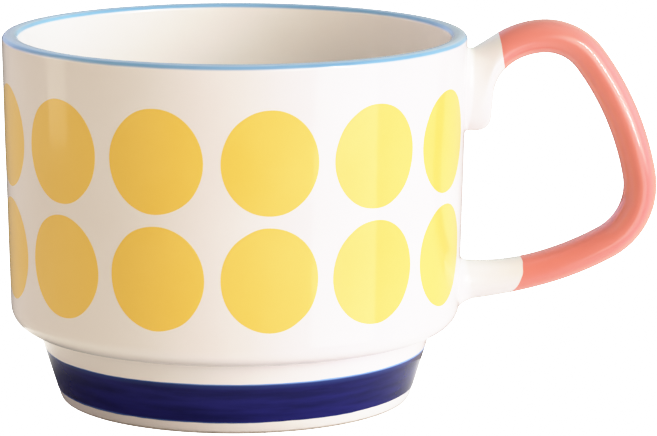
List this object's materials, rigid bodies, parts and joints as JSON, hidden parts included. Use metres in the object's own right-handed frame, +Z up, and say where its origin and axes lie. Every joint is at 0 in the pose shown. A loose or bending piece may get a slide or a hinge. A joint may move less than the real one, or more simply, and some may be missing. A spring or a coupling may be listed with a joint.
{
  "type": "stacking mug",
  "caption": "Straight-walled glazed stoneware mug with a narrower stepped foot for stacking, a hooked loop handle, a coloured rim, rows of dots and a dark foot band.",
  "frame": {"origin": "on the cup's axis, in the plane of the foot ring that the mug rests on", "axes": "+Z up along the cup's axis, +X from the axis towards the handle, +Y completes the right-handed frame"},
  "size_m": [0.1279, 0.0904, 0.0738],
  "materials": {
    "white_glaze": "glossy warm white glaze over stoneware",
    "slip": "stoneware slip under the same glossy white glaze",
    "rim_blue": "glossy light blue brushed glaze",
    "dot_yellow": "glossy yolk yellow in-glaze colour",
    "band_navy": "glossy navy brushed glaze with fine turning streaks",
    "handle_coral": "glossy coral glaze, thinner along its edges",
    "bare_stoneware": "matt unglazed stoneware of the foot ring"
  },
  "bodies": {
    "root": {"cup_body": "white_glaze", "handle": "white_glaze", "upper_slip_joint": "slip", "lower_slip_joint": "slip", "rim_glaze_band": "rim_blue", "upper_dots": "dot_yellow", "lower_dots": "dot_yellow", "foot_glaze_band": "band_navy", "handle_glaze_sleeve": "handle_coral"}
  },
  "joints": []
}
